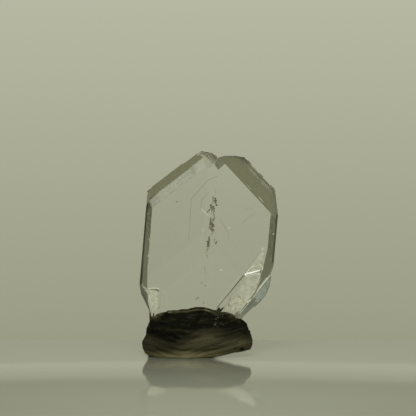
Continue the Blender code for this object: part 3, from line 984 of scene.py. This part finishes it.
@dataclass
class PuttyLump:
    """The kneaded lump of putty that holds the crystal; sizes in mm, tones from 0 for dark to 2."""

    voxel: float = 0.18
    softening: int = 6
    border: tuple[Place, ...] = (
        (-12.5, 4.6), (-10.0, 3.9), (-8.2, 2.6), (-6.8, 2.2), (-4.0, 3.6), (-0.85, 5.2), (3.0, 4.3),
        (7.0, 3.8),
    )
    border_blur: float = 2.2
    creases: tuple[Crease, ...] = (
        Crease((-12.2, 4.3), (-8.6, 4.6), 0.55, 0.40),
        Crease((-8.6, 4.6), (-5.4, 3.9), 0.30, 0.50),
        Crease((-3.0, 5.6), (-1.2, 8.1), 0.40, 0.36),
        Crease((-9.6, 6.0), (-4.0, 6.2), 0.22, 0.30),
        Crease((-10.0, 7.2), (-6.6, 7.6), 0.25, 0.30),
        Crease((5.8, 1.25), (6.2, 1.5), 0.9, 0.5),
    )
    dabs: tuple[Dab, ...] = (
        Dab((-9.2, -3.2, 5.9), (1.5, 1.0, 1.6)),
        Dab((-7.8, -3.3, 6.6), (1.5, 1.0, 1.6)),
        Dab((2.6, -3.7, 6.7), (2.4, 0.9, 1.5)),
        Dab((5.0, -3.6, 5.4), (2.0, 0.9, 1.6)),
        Dab((5.0, -0.8, 2.3), (2.95, 4.2, 2.25)),
        Dab((-9.1, -0.8, 2.2), (2.85, 4.0, 2.15)),
    )
    fold_front: float = -1.0
    fold_wander: float = 0.25
    wander_scale: float = 0.9
    swirl: float = 1.1
    swirl_scale: float = 0.16
    slopes: Range = (0.06, 0.30)
    slope_blur: float = 5.0
    slope_start: Fade = Fade(-9.0, 5.0)
    layers: Wave = Wave((0.10, 0.16, 0.9), 0.0, 0.24)
    layer_rest: float = 0.45
    strands: Wave = Wave((0.22, 0.4, 2.4), 7.0, 0.11)
    strand_rest: float = 0.2
    ridges: Wave = Wave((0.13, 0.25, 2.2), 3.0, 0.09)
    ridge_sharpness: float = 12.0
    lump_scale: float = 1.7
    lump_push: float = 0.05
    calm_ends: float = 0.6
    middle: float = -3.0
    end_fade: Fade = Fade(6.5, 2.0)
    bottom_fade: Fade = Fade(0.1, 1.2)
    lip_fade: Fade = Fade(0.35, 0.6)
    grain_scale: tuple[float, float, float] = (0.35, 0.6, 3.0)
    dark_tone: float = 0.02
    # The lower lobe is paler, partly its own colour and partly painted light.
    lobe_tone_and_light: float = 0.46
    right_tone: float = 0.18
    right_fade: Fade = Fade(-8.0, 4.0)
    # Painted light that lifts the tone near the foot, which stands in shade.
    painted_foot_light: float = 0.5
    foot_light_fade: Fade = Fade(1.5, -1.0)
    strand_tone: float = 0.24
    lobe_calm: float = 0.17
    # Painted light on the crests of the ridges.
    painted_crest_light: float = 0.36
    # Painted shade in the creases.
    painted_crease_shade: float = 0.9
    # Painted rim light along the top of the lip, where it meets the crystal.
    painted_rim_light: float = 1.05
    rim_light_width: Fade = Fade(1.5, -0.7)
    rim_light_height: Fade = Fade(6.3, 1.0)
    rim_light_patches: tuple[float, float, float] = (0.7, 0.6, 0.8)
    pocket_tone: float = 0.85
    undercut: float = 1.3
    half_depth: float = 4.0
    foot_push: float = 0.55
    foot_end: Fade = Fade(3.5, -3.0)
    end_rise: float = 0.13
    rise_start: float = 0.5
    rise_height: Fade = Fade(1.2, -1.2)
    back_drop: float = 0.35
    back_height: Fade = Fade(6.0, 1.0)
    back_depth: Fade = Fade(0.0, 1.5)
    grip: float = 0.62
    grip_blur: float = 0.26
    sink: float = 0.03

    def fine_shape(self) -> Piece:
        """Makes a finely and evenly meshed copy of the CAD lump."""
        shape = merged_copy(PUTTY_NODE)
        for dab in self.dabs:
            size = Matrix.Diagonal((*(Vector(dab.radii) * MM), 1.0))
            place = Matrix.Translation(Vector(dab.centre) * MM)
            bmesh.ops.create_icosphere(shape, subdivisions=4, radius=1.0, matrix=place @ size)
        rough = object_of("putty_lump", shape)
        remesh = rough.modifiers.new("fine", "REMESH")
        remesh.mode = "VOXEL"
        remesh.voxel_size = self.voxel * MM
        soften = rough.modifiers.new("soft", "SMOOTH")
        soften.factor = 0.5
        soften.iterations = self.softening
        bpy.context.view_layer.update()
        graph = bpy.context.evaluated_depsgraph_get()
        rough.data = bpy.data.meshes.new_from_object(rough.evaluated_get(graph))
        rough.modifiers.clear()
        return rough

    def lower_share(self, spot: Vector, blur: float) -> float:
        """How much a point in mm belongs to the drawn-out lower lobe, which is paler partly by painted
        light, from 0 to 1.

        Args:
            spot: The point in mm.
            blur: How wide the border of the lobe is, in mm.

        Returns:
            Its share in the lobe.
        """
        height = self.border[-1][1]
        for (near, low), (far, high) in zip(self.border, self.border[1:]):
            if spot.x < far:
                share = max(0.0, (spot.x - near) / (far - near))
                height = low + (high - low) * share
                break
        return limited(0.5 + (height - spot.z) / blur)

    def grain(self, spot: Vector) -> Vector:
        """A point in mm, turned and swirled along the way that the putty was drawn.

        Args:
            spot: The point in mm.

        Returns:
            Its place along, through and across the streaks.
        """
        spot = spot + noise.noise_vector(spot * self.swirl_scale) * self.swirl
        level, steep = self.slopes
        slope = level + steep * self.lower_share(spot, self.slope_blur) * self.slope_start.at(spot.x)
        return Vector((spot.x + slope * spot.z, spot.y, spot.z - slope * spot.x))

    def fold_depth(self, spot: Vector) -> float:
        """How deep the fold lines cut at a point of the front, in mm."""
        if spot.y > self.fold_front:
            return 0.0
        depth = 0.0
        wander = self.fold_wander * noise.noise(spot * self.wander_scale)
        for crease in self.creases:
            start = Vector(crease.start)
            run = Vector(crease.end) - start
            place = Vector((spot.x, spot.z + wander)) - start
            share = limited(place.dot(run) / run.length_squared)
            gap = (place - run * share).length / crease.width
            ends = min(1.0, 4.0 * min(share, 1.0 - share) + 0.25)
            depth = max(depth, crease.depth * ends * math.exp(-gap * gap * 2.0))
        return depth

    def kneading(self, spot: Vector, drawn: Vector) -> tuple[float, float]:
        """The relief over a point of the lump.

        Args:
            spot: The point in mm.
            drawn: Its place in the grain.

        Returns:
            How far the surface is pushed out in mm, and how pale it is, with painted shade in the creases
            and painted light on the crests and foot.
        """
        strands = self.strands.at(drawn)
        ridge = max(0.0, 1.0 - abs(self.ridges.at(drawn)) * self.ridge_sharpness)
        fold = self.fold_depth(spot)
        height = self.layers.push * (abs(self.layers.at(drawn)) * 2.0 - self.layer_rest)
        height += self.strands.push * (abs(strands) - self.strand_rest) + self.ridges.push * ridge
        height += self.lump_push * noise.noise(spot * self.lump_scale) - fold
        height *= 1.0 - self.calm_ends * self.end_fade.at(abs(spot.x - self.middle))
        lower = self.lower_share(spot, self.border_blur)
        # Painted light lifts the foot and partly the lower lobe; painted light on the crests and painted
        # shade in the creases follow.
        gain = self.lobe_tone_and_light + self.right_tone * self.right_fade.at(spot.x)
        gain += self.painted_foot_light * self.foot_light_fade.at(spot.z)
        tone = self.dark_tone + gain * lower + (self.strand_tone - self.lobe_calm * lower) * strands
        tone += self.painted_crest_light * ridge * (1.0 - lower) - self.painted_crease_shade * fold
        return height, tone

    def settling(self, spot: Vector) -> Vector:
        """How a point in mm moves: the foot stands upright, its right end rises and the back lip sinks."""
        under = max(0.0, self.undercut - spot.z)
        side = max(-1.0, min(1.0, spot.y / self.half_depth))
        outward = self.foot_push * under * side * self.foot_end.at(spot.x)
        rise = self.end_rise * max(0.0, spot.x - self.rise_start) * self.rise_height.at(spot.z)
        drop = self.back_drop * self.back_height.at(spot.z) * self.back_depth.at(spot.y)
        return Vector((0.0, outward, rise - drop))

    def knead(self, piece: Piece, tree: BVHTree) -> None:
        """Kneads the fine lump, closes its lip on the crystal and stores its tones, with painted rim light
        on the lip's top.

        Args:
            piece: The fine lump.
            tree: The crystal's faces.
        """
        shape = bmesh.new()
        shape.from_mesh(piece.data)
        shape.normal_update()
        tone_layer = shape.verts.layers.float.new("tone")
        grain_layer = shape.verts.layers.float_vector.new("grain")
        even, uneven, patch_scale = self.rim_light_patches
        for vert in shape.verts:
            spot = vert.co / MM
            nearest, normal, _, distance = tree.find_nearest(vert.co)
            gap = distance / MM
            drawn = self.grain(spot)
            height, tone = self.kneading(spot, drawn)
            height *= self.bottom_fade.at(spot.z) * self.lip_fade.at(gap)
            vert.co += (vert.normal * height + self.settling(spot)) * MM
            # Painted rim light on the top of the lip.
            rim = self.rim_light_width.at(gap) * self.rim_light_height.at(spot.z)
            tone += self.painted_rim_light * rim * (even + uneven * noise.noise(drawn * patch_scale))
            if gap < self.grip:
                inside = (vert.co - nearest).dot(normal) < 0.0
                share = 1.0 if inside else min(1.0, (self.grip - gap) / self.grip_blur)
                tone += (self.pocket_tone - tone) * share
                vert.co = vert.co.lerp(nearest - normal * self.sink * MM, share)
            vert[tone_layer] = tone
            vert[grain_layer] = drawn * Vector(self.grain_scale)
        shape.to_mesh(piece.data)
        shape.free()

    def build(self) -> Piece:
        """Builds the kneaded lump and lets it stand for its node."""
        piece = self.fine_shape()
        crystal = merged_copy(CRYSTAL_NODE)
        self.knead(piece, BVHTree.FromBMesh(crystal))
        crystal.free()
        piece.data.shade_smooth()
        piece.data.materials.clear()
        piece.data.materials.append(KneadedPutty().material())
        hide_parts(PUTTY_NODE)
        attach(piece, BODY)
        return piece


@dataclass
class Grains:
    """Grains with a painted glint, set into the putty's front; sizes in mm from the CAD origin."""

    # The finish gives off a faint painted glint.
    finish: Fleck = Fleck("putty_glinting_grain", srgb(150, 148, 124), 0.25, 0.25)
    middle: Place = (1.75, 6.8)
    spread: Place = (0.8, 1.0)
    count: int = 26
    seed: int = 31
    widths: Range = (0.05, 0.09)
    heights: Range = (0.03, 0.06)
    thickness: float = 0.05
    well_in_front: float = -12.0

    def build(self, putty: Piece) -> Piece:
        """Sets the grains onto the lump.

        Args:
            putty: The finished lump.

        Returns:
            All the grains in one piece.
        """
        lump = bmesh.new()
        lump.from_mesh(putty.data)
        tree = BVHTree.FromBMesh(lump)
        lump.free()
        dice = random.Random(self.seed)
        shape = bmesh.new()
        for _ in range(self.count):
            right = self.middle[0] + dice.uniform(-1.0, 1.0) * self.spread[0]
            up = self.middle[1] + dice.uniform(-1.0, 1.0) * self.spread[1]
            hit = tree.ray_cast(Vector((right, self.well_in_front, up)) * MM, Vector((0.0, 1.0, 0.0)))[0]
            if hit is None:
                continue
            turn = Matrix.Rotation(dice.uniform(0.0, math.pi), 4, "Y")
            radii = Vector((dice.uniform(*self.widths), self.thickness, dice.uniform(*self.heights)))
            size = Matrix.Diagonal((*(radii * MM), 1.0))
            bmesh.ops.create_icosphere(
                shape, subdivisions=1, radius=1.0, matrix=Matrix.Translation(hit) @ turn @ size
            )
        piece = object_of("putty_glinting_grains", shape)
        piece.data.materials.append(self.finish.material())
        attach(piece, BODY)
        return piece


@dataclass(frozen=True)
class Card:
    """A soft-edged patch of the surroundings: where it is, how wide in degrees, and its colour."""

    towards: tuple[float, float, float]
    inner: float
    outer: float
    colour: Colour


@dataclass(frozen=True)
class Lamp:
    """A soft square light: where it stands, what it faces, its side and its power in watts."""

    name: str
    place: Vector
    goal: Vector
    size: float
    power: float

    def build(self) -> Piece:
        """Adds the light, which no mirroring or see-through surface shows."""
        data = bpy.data.lights.new(self.name, "AREA")
        data.size = self.size
        data.energy = self.power
        lamp = linked(self.name, data)
        lamp.location = self.place
        lamp.rotation_euler = (self.goal - self.place).to_track_quat("-Z", "Y").to_euler()
        lamp.visible_glossy = False
        lamp.visible_transmission = False
        return lamp


@dataclass
class Studio:
    """The pale floor, the soft lights and the bright field behind."""

    floor_back: float = 28 * MM
    floor_front: float = -400 * MM
    floor_side: float = 400 * MM
    floor_thickness: float = 12 * MM
    floor_rim: float = 4 * MM
    floor_colour: Colour = srgb(190, 192, 172)
    floor_roughness: float = 0.075
    turns_of_light: int = 32
    around: Colour = srgb(104, 106, 86)
    field_edge: Range = (0.945, 0.975)
    field_height: float = 0.3
    behind: tuple[tuple[float, Colour], ...] = (
        (0.0, srgb(116, 118, 94)),
        (0.18, srgb(120, 122, 98)),
        (0.29, srgb(150, 152, 129)),
        (0.343, srgb(157, 159, 136)),
        (0.418, srgb(165, 167, 144)),
        (0.568, srgb(182, 184, 162)),
        (0.64, srgb(172, 174, 152)),
        (0.69, srgb(164, 166, 144)),
        (0.75, srgb(128, 130, 108)),
        (1.0, srgb(120, 122, 100)),
    )
    cards: tuple[Card, ...] = (
        Card((-0.27, 0.92, -0.30), 9, 15, srgb(113, 114, 87)),
        Card((-0.56, 0.82, -0.08), 9, 16, srgb(96, 98, 78)),
        Card((0.33, 0.79, -0.53), 9, 14, srgb(172, 174, 152)),
        Card((0.52, 0.67, -0.52), 5.5, 8.5, srgb(112, 114, 88)),
        Card((0.64, 0.76, -0.05), 14, 26, srgb(84, 87, 70)),
        Card((0.80, 0.58, -0.15), 6, 12, srgb(32, 34, 27)),
    )
    lamps: tuple[Lamp, ...] = (
        Lamp("top_light", Vector((-0.05, 0.22, 0.27)), near_centre(0.0, -6.0), 0.07, 0.03),
        Lamp("front_light", Vector((-0.1, -0.33, 0.36)), near_centre(0.0, -6.0), 0.2, 0.55),
        Lamp("floor_light", Vector((0.01, -0.09, 0.11)), Vector((0.0, -0.03, 0.0)), 0.05, 0.05),
    )

    def build_floor(self) -> Piece:
        """Builds the floor, which ends a little behind the object."""
        shape = bmesh.new()
        depth = self.floor_back - self.floor_front
        size = Matrix.Diagonal((2 * self.floor_side, depth, self.floor_thickness, 1.0))
        middle = Vector((0.0, (self.floor_back + self.floor_front) / 2, -self.floor_thickness / 2))
        bmesh.ops.create_cube(shape, size=1.0, matrix=Matrix.Translation(middle) @ size)
        rims = [edge for edge in shape.edges if all(vert.co.y > 0 for vert in edge.verts)]
        bmesh.ops.bevel(
            shape, geom=rims, offset=self.floor_rim, affect="EDGES", segments=6, profile=0.5, material=-1
        )
        floor = object_of("floor", shape, smooth=True)
        material, nodes, shader = new_material("pale_floor")
        nodes.set(shader, Base_Color=self.floor_colour, Roughness=self.floor_roughness)
        floor.data.materials.append(material)
        return floor

    def build_field(self) -> None:
        """Sets the surroundings: a bright field behind, and softly lighter and darker sides."""
        world = bpy.data.worlds.new("field")
        bpy.context.scene.world = world
        world.use_nodes = True
        nodes = Nodes(world.node_tree)
        towards = nodes.add("ShaderNodeTexCoord").outputs["Generated"]
        parts = nodes.parts(towards)
        above = nodes.math("ADD", parts["Z"], self.field_height)
        height = nodes.math("DIVIDE", above, 2 * self.field_height)
        behind = nodes.ramp(height, list(self.behind))
        share = nodes.spread(parts["Y"], self.field_edge, smooth=True)
        colour = nodes.blend(share, self.around, behind)
        for card in self.cards:
            facing = nodes.add("ShaderNodeVectorMath", operation="DOT_PRODUCT")
            nodes.join(towards, facing.inputs[0])
            facing.inputs[1].default_value = Vector(card.towards).normalized()
            edge = (math.cos(math.radians(card.outer)), math.cos(math.radians(card.inner)))
            reach = nodes.spread(facing.outputs["Value"], edge, smooth=True)
            colour = nodes.blend(reach, colour, card.colour)
        nodes.join(colour, world.node_tree.nodes["Background"].inputs["Color"])

    def build(self) -> None:
        """Builds the floor, the surroundings and the lights."""
        self.build_floor()
        self.build_field()
        for lamp in self.lamps:
            lamp.build()
        scene = bpy.context.scene
        scene.view_settings.view_transform = "Standard"
        scene.cycles.max_bounces = self.turns_of_light
        scene.cycles.glossy_bounces = self.turns_of_light
        scene.cycles.transmission_bounces = self.turns_of_light


def main() -> None:
    """Builds the scene's pieces in order."""
    logging.basicConfig(level=logging.INFO, format="%(message)s")
    noise.seed_set(NOISE_SEED)
    StudioCamera().build()
    pieces = [TwinCrystal().build()]
    pieces += [kind.build() for kind in (*line_kinds(), *painted_sheet_kinds(), *fleck_kinds(), *frost_kinds())]
    putty = PuttyLump().build()
    pieces += [putty, Grains().build(putty)]
    for piece in pieces:
        log.info("%s: %d faces", piece.name, len(piece.data.polygons))
    Studio().build()


if __name__ == "__main__":
    main()
